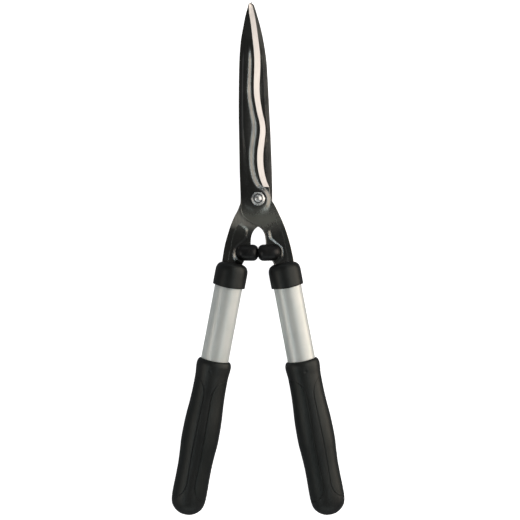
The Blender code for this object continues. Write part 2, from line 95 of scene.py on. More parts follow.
FRONT_OUTER = [
    (13.2, 11.9), (3.6, 13.4), (-1.8, 15.0), (-5.1, 17.2), (-11.6, 20.6), (-18, 23.6),
    (-24.5, 26.6), (-31, 29.2), (-37.5, 31.4), (-44, 33.4), (-50.4, 35.1), (-57, 36.6),
    (-63.4, 37.9), (-74, 39.6),
]
REAR_BACK = [
    (211.5, -6.0), (210, -4.7), (207, -3.5), (199, -1.0), (186, 2.6), (176, 4.9), (163, 7.2), (150, 9.0),
    (131, 10.3), (112, 11.3), (92, 12.3), (73, 13.3), (53, 14.1), (34, 14.8), (14, 15.3),
    (1, 15.4), (-12, 15.5), (-17, 14.3), (-21.5, 11.5), (-25.5, 7.0), (-28.2, 2.4), (-30.0, -0.8),
    (-33.0, -4.1), (-38, -6.7), (-44, -7.8), (-49, -8.1), (-55, -9.4), (-62, -12.3),
    (-68, -15.8), (-74, -18.8),
]
REAR_OUTER = [
    (13.2, -15.4), (3.6, -16.2), (-1.8, -17.6), (-5.1, -19.4), (-11.6, -22.0), (-18, -25.4),
    (-24.5, -28.3), (-31, -30.7), (-37.5, -32.7), (-44, -34.6), (-50.4, -36.2), (-57, -37.4),
    (-63.4, -38.4), (-74, -39.9),
]
# Middle of the ramp round the tang's plateau, on its inner and its outer side.
TANG_INNER = [
    (-24, 24.0), (-26.6, 19.3), (-31.5, 13.3), (-33.5, 12.2), (-38, 12.6), (-42.0, 13.6),
    (-44, 15.8), (-51.3, 24.0), (-54, 25.2), (-62, 25.6), (-66, 23.5), (-70, 19.0),
]
TANG_OUTER = [(-24, 19.0), (-27, 21.0), (-30.3, 23.3), (-39.6, 26.9), (-51.2, 29.6), (-70, 33.0)]
BORDER_STEP = 0.18


def flowing(points, at):
    """Value at a place on the smooth curve through (place, value) points."""
    points = sorted(points)
    at = min(max(at, points[0][0]), points[-1][0])
    i = max(k for k in range(len(points) - 1) if points[k][0] <= at)
    (t0, v0), (t1, v1) = points[i], points[i + 1]
    before = points[max(i - 1, 0)]
    after = points[min(i + 2, len(points) - 1)]
    span = t1 - t0
    slope0 = (v1 - before[1]) / (t1 - before[0]) * span
    slope1 = (after[1] - v0) / (after[0] - t0) * span
    u = (at - t0) / span
    return (
        (2 * u ** 3 - 3 * u ** 2 + 1) * v0 + (u ** 3 - 2 * u ** 2 + u) * slope0
        + (3 * u ** 2 - 2 * u ** 3) * v1 + (u ** 3 - u ** 2) * slope1
    )


def straight(points, at):
    """Value at a place on straight runs through (place, value) points."""
    for (t0, v0), (t1, v1) in zip(points, points[1:]):
        if at <= t1:
            return v0 + (v1 - v0) * (max(at, t0) - t0) / (t1 - t0)
    return points[-1][1]


def round_max(a, b, blend):
    """The larger of two values, with a smooth change where they are about equal."""
    return (a + b + math.sqrt((a - b) ** 2 + blend ** 2)) / 2


def ramp(t, blend=0.3):
    """0 to 1 over t from 0 to 1, straight in the middle and rounded at both ends."""
    return 1 - round_max(0, 1 - round_max(0, t, blend), blend)


def tongue_middle(y):
    """X of the tongue's middle at a height y, on the handle's leaning axis."""
    down = (HANDLE_OUT * math.sin(HANDLE_LEAN) - y) / math.cos(HANDLE_LEAN)
    return HANDLE_OUT * math.cos(HANDLE_LEAN) + down * math.sin(HANDLE_LEAN)


def tip_round(y):
    """How far the corners of the blade's end are rounded off at a height y."""
    over = max(0.0, y - (ROW_STOPS[-1][1] - TIP_CORNER_R))
    return TIP_CORNER_R - math.sqrt(max(TIP_CORNER_R ** 2 - over ** 2, 0.0))


# Rows of the mesh as (row, height). Of its columns, the first few roll over the back edge, the last
# few roll over the outer one, and one is the upper edge of the bevel and the foot of the tang's border.
ROW_STOPS = [(0, -130.0), (18, -74.2), (20, -73.8), (152, 13.0), (153, 13.25), (378, 200.0), (404, 211.5)]
COLUMNS = 64
BACK_COLUMN = 3
BEVEL_COLUMN = 47
RIM_COLUMN = 60
BACK_ROLL_W = 0.5
RIM_W = 0.45
TIP_CORNER_R = 1.2
BEVEL_WIDTH = [(13, 6.2), (36, 6.4), (52, 6.4), (66, 6.0), (78, 5.7), (92, 5.8), (118, 6.0), (140, 6.4),
               (156, 6.4), (180, 5.9), (200, 5.6), (206, 4.7), (211.5, 2.6)]
BEVEL_SHARE = 0.88
BEVEL_STEP = 0.12
HEEL_RUN_OUT = 0.1
HEEL_LEAST_W = 2.0
STRIP_W = 3.0
BLADE_RAMP_W = [(10, 5.0), (22, 6.3), (64, 6.2), (82, 5.4), (94, 4.8), (124, 4.2), (157, 3.2), (166, 2.4)]
BOSS_RAMP_W = 3.8
SOFT_RAMP_W = 9.0
TANG_RAMP_W = 4.2
RAMP_STEEPNESS = 1.25
BOSS_AT = (-2.2, -0.8)
BOSS_R = 13.6
BOSS_BLEND = 2.5
BLADE_FOOT_Y = -2.0
TANG_FROM_Y = -20.0
FLANGE_W = 3.4
SHOULDER_W = 1.3
SOFT_SHOULDER_W = 11.0
DOME_DROP = 0.6
DOME_START = 5.0
DOME_RUN = 12.0
EDGE_DROP = 0.28
ROLL_DROP = 0.5
ROLL_RUN = 0.9
BOLT_HOLE_R = 4.3
BUSH_HOLE_R = 5.6
PIN_HOLE_R = 2.8
LUG_X = 5.0
LUG_HALF = 5.5
STOP_Y = -57.9
PLATEAU_TOP = [(75, 1.0), (110, 0.8), (150, 0.62), (166, 0.0)]


def lever_row(y, side):
    """Back edge and cutting or outer edge at a height y, with X mirrored for the rear lever."""
    if y < TONGUE_TOP_Y:
        return tongue_middle(y) - TONGUE_HALF, tongue_middle(y) + TONGUE_HALF
    if side > 0:
        back = flowing(FRONT_BACK, y)
        edge = flowing(CUTTING_EDGE, y) if y > HEEL_Y else flowing(FRONT_OUTER, y)
    else:
        back = -flowing(REAR_BACK, y)
        blade = flowing(CUTTING_EDGE, y) - flowing(FRONT_BACK, y)
        edge = back + blade if y > HEEL_Y else -flowing(REAR_OUTER, y)
    if abs(y - STOP_Y) < LUG_HALF:
        back = min(back, LUG_X)
    return back + tip_round(y), edge - tip_round(y)


def plateau(x, y, back, heel_edge):
    """0 on the flat plate, 1 on top of the plateau."""
    bevel = straight(BEVEL_WIDTH, y)
    foot = heel_edge - bevel - STRIP_W
    blade_width = straight(BLADE_RAMP_W, y)
    width = straight([(-13, SOFT_RAMP_W), (-6, BOSS_RAMP_W), (4, BOSS_RAMP_W), (18, blade_width)], y)
    blade_side = min(foot - blade_width / 2 - x, y - BLADE_FOOT_Y)
    boss_side = BOSS_R - math.hypot(x - BOSS_AT[0], y - BOSS_AT[1])
    inside = round_max(blade_side, boss_side, BOSS_BLEND)
    shoulder = straight([(-5, SOFT_SHOULDER_W), (75, SHOULDER_W)], y)
    raised = ramp(RAMP_STEEPNESS * inside / width + 0.5) * ramp((x - back - FLANGE_W) / shoulder)
    raised *= straight(PLATEAU_TOP, y)
    if y > TANG_FROM_Y:
        return raised
    step = 0.5
    here = flowing(TANG_INNER, y)
    slope = (flowing(TANG_INNER, y + step) - flowing(TANG_INNER, y - step)) / (2 * step)
    inner = (x - here) / math.sqrt(1 + slope ** 2)
    outer = flowing(TANG_OUTER, y) - x
    tang = ramp(RAMP_STEEPNESS * inner / TANG_RAMP_W + 0.5) * ramp(outer / BORDER_STEP + 0.5, 0.02)
    return max(raised, tang)


def pressed_lever(side, hole_r):
    """One lever. Its own X runs from the blade's back to its cutting edge."""
    rows = ROW_STOPS[-1][0]
    bm = bmesh.new()
    bmesh.ops.create_grid(bm, x_segments=COLUMNS, y_segments=rows, size=0.5)
    ground = bm.verts.layers.float.new("ground")
    rubbed = bm.verts.layers.float.new("rubbed")
    bevelled = bm.verts.layers.float.new("bevel")
    raised = bm.verts.layers.float.new("raised")
    shape = {}
    for row in range(rows + 1):
        y = straight(ROW_STOPS, row)
        back, edge = lever_row(y, side)
        bevel = min(straight(BEVEL_WIDTH, max(y, HEEL_Y)), BEVEL_SHARE * (edge - back))
        step = BEVEL_STEP
        if y < HEEL_Y:
            step = BORDER_STEP
            on_tang = straight([(-22, 1.0), (-14, 0.0)], y)
            border = edge - flowing(TANG_OUTER, y) - BORDER_STEP / 2
            heel = max(bevel + (y - HEEL_Y) * HEEL_RUN_OUT, HEEL_LEAST_W)
            bevel = heel * (1 - on_tang) + border * on_tang
        width = edge - back
        foot = width - bevel
        stops = [(0, 0.0), (BACK_COLUMN, BACK_ROLL_W), (BEVEL_COLUMN - 1, foot - step),
                 (BEVEL_COLUMN, foot), (RIM_COLUMN, width - RIM_W), (COLUMNS, width)]
        heel_edge = lever_row(max(y, HEEL_Y + 0.01), side)[1]
        shape[row] = (y, back, edge, bevel, stops, heel_edge)
    for v in bm.verts:
        column = round((v.co.x + 0.5) * COLUMNS)
        y, back, edge, bevel, stops, heel_edge = shape[round((v.co.y + 0.5) * rows)]
        x = back + straight(stops, column)
        rise = plateau(x, y, back, heel_edge)
        v[bevelled] = max(0.0, 1 - (edge - x) / bevel) if y > HEEL_Y else 0.0
        v[ground] = 1.0 if column >= BEVEL_COLUMN and y > HEEL_Y else 0.0
        v[raised] = rise
        v.co = (x, y, 0)
    pin = (HANDLE_OUT * math.cos(HANDLE_LEAN) + PIN_DOWN * math.sin(HANDLE_LEAN),
           HANDLE_OUT * math.sin(HANDLE_LEAN) - PIN_DOWN * math.cos(HANDLE_LEAN))
    for (cx, cy), radius in (((0, 0), hole_r), (pin, PIN_HOLE_R)):
        centre = Vector((cx, cy, 0))
        inside = [f for f in bm.faces if (f.calc_center_median() - centre).length < radius]
        rim = {v for f in inside for v in f.verts if any(g not in inside for g in v.link_faces)}
        bmesh.ops.delete(bm, geom=inside, context="FACES")
        for v in rim:
            v.co = centre + (v.co - centre).normalized() * radius
    under = list(bm.verts)
    made = bmesh.ops.extrude_face_region(bm, geom=bm.faces[:])
    over = [g for g in made["geom"] if isinstance(g, bmesh.types.BMVert)]
    for v in under:
        v[rubbed] = 1.0 - v[raised]
        v.co.z = RECESS * v[raised]
        v[ground] = 0.0
    for v in over:
        y, x = v.co.y, v.co.x
        back, edge = lever_row(y, side)
        drop = DOME_DROP * min(max((x - back - DOME_START) / DOME_RUN, 0), 1) ** 2
        z = STEEL + EMBOSS * v[raised] - drop * v[raised] * straight([(16, 0), (30, 1)], y)
        z -= (STEEL - EDGE_LAND) * v[bevelled]
        roll = straight([(-8, 1.0), (6, 0.0)], y)
        roll_w = BACK_ROLL_W + ROLL_RUN * roll
        rounded = (EDGE_DROP + ROLL_DROP * roll) * max(0.0, 1 - (x - back) / roll_w) ** 2
        if y < HEEL_Y:
            rounded += EDGE_DROP * max(0.0, 1 - (edge - x) / RIM_W) ** 2
        v.co.z = z - rounded
    for v in bm.verts:
        v.co = Vector((side * v.co.x, v.co.y, MATING_Z + side * (GAP / 2 + v.co.z))) * MM
    return bm


def shown(name, bm, body, material, replaced, sharp=32.0):
    """Turn a bmesh into a finished piece that rides on a body and stands for CAD nodes."""
    bmesh.ops.recalc_face_normals(bm, faces=bm.faces)
    mesh = bpy.data.meshes.new(name)
    bm.to_mesh(mesh)
    bm.free()
    mesh.shade_smooth()
    mesh.set_sharp_from_angle(angle=math.radians(sharp))
    mesh.materials.append(material)
    piece = bpy.data.objects.new(name, mesh)
    bpy.context.collection.objects.link(piece)
    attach(piece, body)
    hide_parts(*replaced)


class Wire:
    """One output of a material's nodes. Arithmetic on wires adds Math nodes."""

    def __init__(self, tree, socket=None):
        self.tree = tree
        self.socket = socket

    def node(self, kind, settings, sockets, output=0):
        """Adds any node: its settings first, then the values or wires of its sockets."""
        made = self.tree.nodes.new("ShaderNode" + kind)
        for name, value in settings.items():
            setattr(made, name, value)
        for name, value in sockets.items():
            if isinstance(value, Wire):
                self.tree.links.new(value.socket, made.inputs[name])
            else:
                made.inputs[name].default_value = value
        return Wire(self.tree, made.outputs[output])

    def maths(self, operation, *values):
        """Adds a Math node that works on the given values only."""
        return self.node("Math", {"operation": operation}, dict(enumerate(values)))

    def __add__(self, other):
        return self.maths("ADD", self, other)

    __radd__ = __add__

    def __sub__(self, other):
        return self.maths("SUBTRACT", self, other)

    def __rsub__(self, other):
        return self.maths("SUBTRACT", other, self)

    def __mul__(self, other):
        return self.maths("MULTIPLY", self, other)

    __rmul__ = __mul__

    def between(self, low, high):
        """0 below low, 1 above high, and smooth between."""
        settings = {"interpolation_type": "SMOOTHSTEP"}
        return self.node("MapRange", settings, {"Value": self, "From Min": low, "From Max": high})

    def mix(self, low, high):
        """The colour low where this is 0, and high where it is 1."""
        low = low if isinstance(low, Wire) else (*low, 1.0)
        high = high if isinstance(high, Wire) else (*high, 1.0)
        settings = {"data_type": "RGBA", "clamp_factor": True}
        return self.node("Mix", settings, {0: self, 6: low, 7: high}, output=2)


def start_material(name):
    """A new material, with a wire that carries each point's place on the object."""
    material = bpy.data.materials.new(name)
    material.use_nodes = True
    wire = Wire(material.node_tree).node("TexCoord", {}, {}, output=3)
    return material, wire


def stretched(place, scale):
    """A place scaled differently along X, Y and Z, for drawn-out patterns."""
    return place.node("Mapping", {}, {"Vector": place, "Scale": scale})


def grain(place, scale, detail=3.0):
    """Noise from 0 to 1 with features of about 1 / scale metres."""
    sockets = {"Vector": place, "Scale": scale, "Detail": detail, "Roughness": 0.55}
    return place.node("TexNoise", {}, sockets)


def finish_material(material, place, colour, roughness, metallic=0.0, height=None, depth=0.0, **constants):
    """Wires colour, roughness, metallic and a bump of a real depth in metres to the shader."""
    shader = material.node_tree.nodes["Principled BSDF"]
    wired = {"Base Color": colour, "Roughness": roughness, "Metallic": metallic}
    if height is not None:
        wired["Normal"] = place.node("Bump", {}, {"Height": height, "Distance": depth, "Strength": 1.0})
    for name, value in wired.items():
        if isinstance(value, Wire):
            material.node_tree.links.new(value.socket, shader.inputs[name])
        else:
            shader.inputs[name].default_value = value
    for name, value in constants.items():
        shader.inputs[name.replace("_", " ")].default_value = value
    return material


# Where the coating is lighter, duller and less metallic, by distance from the pivot and by height, and
# where the tangs are rubbed, by height, all in metres.
PIVOT_ZONE_R = (0.024, 0.046)
PIVOT_ZONE_Y = (-0.024, 0.004)
RUBBED_Y = (-0.034, -0.027)


def coated_steel():
    """Dark satin coating, duller round the pivot, rubbed on the tangs and ground bright on the bevel."""
    material, place = start_material("coated_steel")
    ground = place.node("Attribute", {"attribute_name": "ground"}, {}, output=2)
    rubbed = place.node("Attribute", {"attribute_name": "rubbed"}, {}, output=2)
    mottle = grain(place, 55.0, detail=4.0)
    speckle = grain(place, 1400.0, detail=2.0)
    brushed = grain(stretched(place, (2600.0, 60.0, 900.0)), 1.0, detail=2.0)
    fine = grain(stretched(place, (5200.0, 220.0, 2600.0)), 1.0, detail=1.0)
    x_y_z = [place.node("SeparateXYZ", {}, {0: place}, output=axis) for axis in range(3)]
    squared = x_y_z[0] * x_y_z[0] + x_y_z[1] * x_y_z[1]
    from_pivot = squared.maths("SQRT", squared)
    # The coating is painted lighter, and made duller and less metallic, round the pivot and towards the
    # tangs.
    near_pivot = (1.0 - from_pivot.between(*PIVOT_ZONE_R)) * (1.0 - x_y_z[1].between(*PIVOT_ZONE_Y))
    coating = mottle.between(0.3, 0.7).mix((0.20, 0.20, 0.19), (0.25, 0.245, 0.23))
    coating = near_pivot.mix(coating, (0.26, 0.265, 0.235))
    worn = brushed.between(0.25, 0.75).mix((0.30, 0.29, 0.26), (0.42, 0.40, 0.36))
    bright = (brushed * 0.6 + fine * 0.4).between(0.3, 0.7).mix((0.49, 0.48, 0.47), (0.61, 0.60, 0.59))
    worn_here = rubbed * x_y_z[1].between(*RUBBED_Y) * (0.75 + 0.25 * mottle.between(0.35, 0.6))
    colour = ground.mix(worn_here.mix(coating, worn), bright)
    coat_rough = 0.14 + 0.07 * speckle + 0.04 * mottle + 0.10 * near_pivot
    rough = coat_rough + worn_here * (0.10 + 0.10 * brushed) + ground * (0.10 + 0.12 * brushed)
    metallic = 1.0 - near_pivot * (0.18 + 0.12 * mottle) * (1.0 - ground)
    height = speckle * (1.0 - ground) * (0.35 - 0.25 * near_pivot) + brushed * (ground + rubbed * 0.5)
    return finish_material(material, place, colour, rough, metallic, height, 0.000012)


steel = coated_steel()
shown("rear_blade_and_tang", pressed_lever(-1, BOLT_HOLE_R), "rear_half", steel,
      ["rear_lever"])
shown("front_blade_and_tang", pressed_lever(1, BUSH_HOLE_R), "front_half", steel,
      ["front_lever"])


# Pivot
# An M8 hexagon bolt stands through both bosses from behind. The front lever turns on a steel bush, and
# a conical washer and a zinc-plated lock nut with a nylon ring in its collar hold the stack together.

HEX_HALF = 6.5
HEX_CHAMFER = math.radians(28)
THREAD_R = 4.0
THREAD_DEPTH = 0.35
PITCH = 1.25
BORE_R = 4.3
REAR_WASHER_R = 8.0
SPRING_WASHER_R = 7.2
SPRING_CONE = 0.5
WASHER_EDGE = 0.2
BUSH_R = 5.3
COLLAR_HIGH = 2.7
COLLAR_R = 5.15
COLLAR_ROUND = 0.95
LIP_R = 4.9
PIVOT_STEPS = 96


def turned(stations, around):
    """A turned or oval body through (along, half width, half depth) stations, from pole to pole.
    It lies along -Y."""
    bm = bmesh.new()
    chain = [bm.verts.new((1.0, 0.0, float(i))) for i in range(len(stations))]
    edges = [bm.edges.new(pair) for pair in zip(chain, chain[1:])]
    bmesh.ops.spin(
        bm, geom=chain + edges, cent=(0, 0, 0), axis=(0, 0, 1), dvec=(0, 0, 0),
        angle=2 * math.pi, steps=around, use_merge=True,
    )
    for v in bm.verts:
        along, wide, deep = stations[round(v.co.z)]
        v.co = (wide * v.co.x, -along, deep * v.co.y)
    bmesh.ops.remove_doubles(bm, verts=bm.verts, dist=1e-5)
    return bm


def stood_up(bm):
    """Turns a body that lies along -Y so that it stands along +Z, and takes it to metres."""
    place = Matrix.Scale(MM, 4) @ Matrix.Rotation(-math.pi / 2, 4, "X")
    bmesh.ops.transform(bm, matrix=place, verts=bm.verts)
    return bm


def washer(inner, outer, low, high, cone=0.0):
    """A flat or conical washer or bush with broken edges."""
    edge = WASHER_EDGE
    section = [
        (low, inner), (low - cone, outer - edge), (low - cone + edge, outer), (high - cone - edge, outer),
        (high - cone, outer - edge), (high, inner + edge), (high - edge, inner), (low, inner),
    ]
    return stood_up(turned([(z, r, r) for z, r in section], PIVOT_STEPS))


def hexed(bm, low, high, chamfer_low, chamfer_high):
    """Pushes the two outer rings of a turned body out to a hexagon with chamfered corners."""
    for v in bm.verts:
        radius = math.hypot(v.co.x, v.co.z)
        along = -v.co.y
        if radius < HEX_HALF - 0.02 or along < low - 0.01 or along > high + 0.01:
            continue
        angle = math.atan2(v.co.z, v.co.x)
        from_flat = angle % (math.pi / 3) - math.pi / 6
        out = HEX_HALF / math.cos(from_flat)
        corner = (out - HEX_HALF) * math.tan(HEX_CHAMFER)
        if chamfer_low and along < (low + high) / 2:
            along += corner
        if chamfer_high and along > (low + high) / 2:
            along -= corner
        v.co = (out * v.co.x / radius, -along, out * v.co.z / radius)
    return bm


def zinc_plate():
    """Bright zinc over machined steel, with fine turning marks and faint clouding."""
    material, place = start_material("bright_zinc")
    cloud = grain(place, 320.0, detail=4.0)
    pits = grain(place, 2600.0, detail=2.0)
    colour = cloud.between(0.3, 0.7).mix((0.74, 0.74, 0.73), (0.90, 0.90, 0.88))
    return finish_material(material, place, colour, 0.20 + 0.16 * cloud, 0.80, pits, 0.00001)


zinc = zinc_plate()
bolt_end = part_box("pivot_bolt")[1].z / MM
nut_z, nut_top = (corner.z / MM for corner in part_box("pivot_nut"))
washer_z, washer_top = (corner.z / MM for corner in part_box("rear_washer"))
spring_z, spring_top = (corner.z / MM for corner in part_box("spring_washer"))
bush_z, bush_top = (corner.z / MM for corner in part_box("pivot_bush"))
nylon_z, nylon_top = (corner.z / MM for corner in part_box("nylon_ring"))

# Sections as (z, radius): up the bolt from its head, and round the nut from its lower face.
head_top = washer_z - GAP
thread_z = spring_top + 0.4
bolt = [
    (0.0, 0.0), (0.0, 5.9), (0.0, 6.1), (0.15, HEX_HALF), (head_top, HEX_HALF), (head_top, THREAD_R + 0.3),
    (head_top + 0.3, THREAD_R), (thread_z, THREAD_R),
]
while thread_z + PITCH < bolt_end - 0.5:
    bolt += [(thread_z + 0.45 * PITCH, THREAD_R - THREAD_DEPTH), (thread_z + 0.9 * PITCH, THREAD_R)]
    thread_z += PITCH
bolt += [
    (bolt_end - 1.1, THREAD_R - 0.1), (bolt_end - 0.75, THREAD_R - 0.5), (bolt_end - 0.33, 2.4),
    (bolt_end - 0.08, 1.1), (bolt_end, 0.0),
]
bolt_bm = hexed(turned([(z, r, r) for z, r in bolt], PIVOT_STEPS), 0.1, head_top, True, False)
shown("pivot_bolt_m8", stood_up(bolt_bm), "rear_half", zinc, ["pivot_bolt"])

hex_top = nut_top - COLLAR_HIGH
nut = [
    (nut_z, BORE_R), (nut_z, 6.2), (nut_z + 0.1, HEX_HALF), (hex_top - 0.1, HEX_HALF),
    (hex_top + 0.05, 6.15),
]
for step in range(7):
    a = math.pi / 2 * step / 6
    nut.append((nut_top - 1.1 + 0.9 * math.sin(a), COLLAR_R + COLLAR_ROUND * math.cos(a)))
nut += [
    (nut_top - 0.55, 5.0), (nut_top - 2.2, 4.95), (nut_top - 2.25, BORE_R), (nut_z, BORE_R),
]
nut_bm = hexed(turned([(z, r, r) for z, r in nut], PIVOT_STEPS), nut_z + 0.05, hex_top - 0.05, True, True)
shown("lock_nut", stood_up(nut_bm), "rear_half", zinc, ["pivot_nut"])
shown("plain_washer", washer(BORE_R, REAR_WASHER_R, washer_z, washer_top), "rear_half", zinc,
      ["rear_washer"])
coned = washer(BORE_R, SPRING_WASHER_R, spring_z + SPRING_CONE, spring_top, SPRING_CONE)
shown("conical_washer", coned, "rear_half", zinc, ["spring_washer"])


def bush_finish():
    """Turned mild steel with a film of grease."""
    material, place = start_material("turned_steel")
    rings = grain(stretched(place, (300.0, 300.0, 4000.0)), 1.0)
    colour = rings.mix((0.36, 0.35, 0.32), (0.52, 0.50, 0.47))
    return finish_material(material, place, colour, 0.25 + 0.2 * rings, 1.0, rings, 0.00001)


def nylon_finish():
    """Dark blue-grey nylon, a little waxy."""
    material, place = start_material("nylon_insert")
    wax = grain(place, 900.0)
    colour = wax.mix((0.012, 0.014, 0.020), (0.026, 0.030, 0.040))
    return finish_material(material, place, colour, 0.38 + 0.15 * wax, 0.0, wax, 0.00003)


shown("turning_bush", washer(BORE_R, BUSH_R, bush_z, bush_top), "rear_half", bush_finish(),
      ["pivot_bush"])
lip = [
    (nylon_z, BORE_R), (nylon_z, LIP_R), (nylon_top - 0.35, LIP_R), (nylon_top - 0.1, 4.75),
    (nylon_top, 4.55), (nylon_top - 0.1, 4.35), (nylon_top - 0.4, BORE_R), (nylon_z, BORE_R),
]
lip_bm = turned([(z, r, r) for z, r in lip], PIVOT_STEPS)
shown("nylon_lock_ring", stood_up(lip_bm), "rear_half", nylon_finish(), ["nylon_ring"])


# Rubber stops
# Two moulded rubber barrels, pushed over lugs on the tangs' inner edges, so that they meet end to
# end and cushion the closing stroke. The outer end is domed and the meeting end is rounded.

STOP_R = 9.1
STOP_LENGTH = 24.3
STOP_FACE_R = 6.2
STOP_DOME = 8.8
STOP_DOME_POWER = 0.95
STOP_TILT = math.radians(1.5)
STOP_SET_BACK = 0.2
# The left stop ends in a low button and the right one in a shallow socket, as (height, radius).
STOP_END = {-1: (-0.9, STOP_FACE_R - 1.4), 1: (1.2, STOP_FACE_R - 1.0)}


def stop_rubber():
    """Black moulded rubber with a faint bloom and fine mould texture."""
    material, place = start_material("stop_rubber")
    bloom = grain(place, 120.0, detail=4.0)
    skin = grain(place, 2200.0, detail=2.0)
    colour = bloom.between(0.35, 0.75).mix((0.003, 0.003, 0.0034), (0.008, 0.008, 0.008))
    return finish_material(
        material, place, colour, 0.20 + 0.30 * bloom, 0.0, skin, 0.00004, Specular_IOR_Level=0.38)


def carved(bm, cutter):
    """The bmesh with another closed bmesh cut out of it."""
    pair = []
    for shape in (bm, cutter):
        bmesh.ops.recalc_face_normals(shape, faces=shape.faces)
        mesh = bpy.data.meshes.new("carving")
        shape.to_mesh(mesh)
        shape.free()
        pair.append(bpy.data.objects.new("carving", mesh))
        bpy.context.collection.objects.link(pair[-1])
    body, tool = pair
    boolean = body.modifiers.new("cut", "BOOLEAN")
    boolean.object = tool
    result = bmesh.new()
    result.from_object(body, bpy.context.evaluated_depsgraph_get())
    for used in pair:
        bpy.data.objects.remove(used, do_unlink=True)
    return result


def box_between(low, high):
    """A closed box from its low corner to its high corner."""
    low, high = Vector(low), Vector(high)
    bm = bmesh.new()
    size = Matrix.Diagonal((*(high - low), 1.0))
    bmesh.ops.create_cube(bm, size=1.0, matrix=Matrix.Translation((low + high) / 2) @ size)
    return bm


def rubber_stop(side):
    """A barrel lying along X, with its meeting face near the middle and a slot for the lug."""
    end_at, end_r = STOP_END[side]
    stations = [
        (end_at, 0.0), (end_at, end_r - 0.3), (end_at * 0.7, end_r), (0.0, end_r),
        (0.0, STOP_FACE_R - 0.5), (0.15, STOP_FACE_R - 0.1), (0.5, STOP_FACE_R + 0.3),
        (1.6, STOP_FACE_R + 1.4), (2.9, STOP_R - 0.7), (4.3, STOP_R - 0.2), (6.0, STOP_R), (9.0, STOP_R),
        (9.15, STOP_R - 0.12), (9.45, STOP_R - 0.12), (9.6, STOP_R), (14.0, STOP_R),
    ]
    steps = 16
    for step in range(1, steps):
        a = math.pi / 2 * step / steps
        along = STOP_LENGTH - STOP_DOME * (1 - math.sin(a))
        stations.append((along, STOP_R * math.cos(a) ** STOP_DOME_POWER))
    stations.append((STOP_LENGTH, 0.0))
    bm = turned([(x, r, r) for x, r in stations], 72)
    middle = MATING_Z + side * (GAP + STEEL) / 2
    lie = Matrix.Rotation(math.pi / 2, 4, "Z")
    set_back = Matrix.Translation((GAP / 2 + STOP_SET_BACK, 0, 0))
    tilt = Matrix.Rotation(STOP_TILT, 4, "Z")
    place = Matrix.Translation((0, STOP_Y, middle))
    mirror = Matrix.Diagonal((side, 1, 1, 1))
    bmesh.ops.transform(bm, matrix=mirror @ place @ tilt @ set_back @ lie, verts=bm.verts)
    slot_half = STEEL / 2 + GAP
    left, right = sorted((side * (LUG_X - GAP), side * 2 * STOP_LENGTH))
    past = 2 * STOP_R
    bm = carved(bm, box_between(
        (left, STOP_Y - past, middle - slot_half), (right, STOP_Y + past, middle + slot_half)))
    bmesh.ops.scale(bm, vec=(MM, MM, MM), verts=bm.verts)
    return bm


rubber = stop_rubber()
shown("right_stop", rubber_stop(1), "front_half", rubber, ["right_bumper"], 30.0)
shown("left_stop", rubber_stop(-1), "rear_half", rubber, ["left_bumper"], 30.0)


# Tang inserts and pins
# Inside each tube a moulded block grips the tongue of the tang, and one steel pin goes through tube,
# block and tongue. The ferrule hides both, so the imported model's own solids stay.

def insert_finish():
    """Dark glass-filled plastic."""
    material, place = start_material("filled_plastic")
    fibres = grain(stretched(place, (700.0, 250.0, 700.0)), 1.0)
    colour = fibres.mix((0.030, 0.030, 0.030), (0.060, 0.060, 0.058))
    return finish_material(material, place, colour, 0.5 + 0.2 * fibres, 0.0, fibres, 0.00004)


def pin_finish():
    """Bright drawn steel wire."""
    material, place = start_material("drawn_steel")
    drawn = grain(stretched(place, (2500.0, 2500.0, 120.0)), 1.0)
    colour = drawn.mix((0.45, 0.45, 0.44), (0.62, 0.62, 0.60))
    return finish_material(material, place, colour, 0.2 + 0.2 * drawn, 1.0, drawn, 0.00001)


insert_material = insert_finish()
pin_material = pin_finish()
for side_name in ("left", "right"):
    for node, material in (("_tang_insert", insert_material), ("_tang_pin", pin_material)):
        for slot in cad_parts[side_name + node].material_slots:
            slot.material = material


# Handles' frame
# Each handle is made on an axis that leans out by 10.7 degrees and passes beside the pivot. Sizes
# down the handle are measured from the point on that axis which is nearest the pivot.

def on_handle(bm, side):
    """Takes a body made along -Y in millimetres to its place on a handle."""
    out = Vector((HANDLE_OUT * math.cos(HANDLE_LEAN) * side, HANDLE_OUT * math.sin(HANDLE_LEAN), MATING_Z))
    place = Matrix.Translation(out) @ Matrix.Rotation(side * HANDLE_LEAN, 4, "Z")
    bmesh.ops.transform(bm, matrix=Matrix.Scale(MM, 4) @ place, verts=bm.verts)
    return bm


# Tubes
# Drawn oval aluminium tube, 30 by 20 mm with a 1.5 mm wall, satin anodised. Drawing leaves it very
# straight, with fine lines along its length.

TUBE_WIDE = 15.1
TUBE_DEEP = 10.0
TUBE_WALL = 1.5
TUBE_TOP = 76.5
TUBE_END = 330.0
TUBE_RINGS = (150.0, 240.0)
TUBE_EDGE = 0.2


def anodised():
    """Satin silver anodising over fine drawing lines."""
    material, place = start_material("satin_anodised")
    drawn = grain(stretched(place, (1500.0, 18.0, 1500.0)), 1.0)
    cloud = grain(place, 70.0, detail=4.0)
    colour = cloud.between(0.3, 0.7).mix((0.70, 0.735, 0.71), (0.75, 0.775, 0.75))
    return finish_material(
        material, place, colour, 0.30 + 0.08 * drawn + 0.05 * cloud, 0.34, drawn, 0.000005)


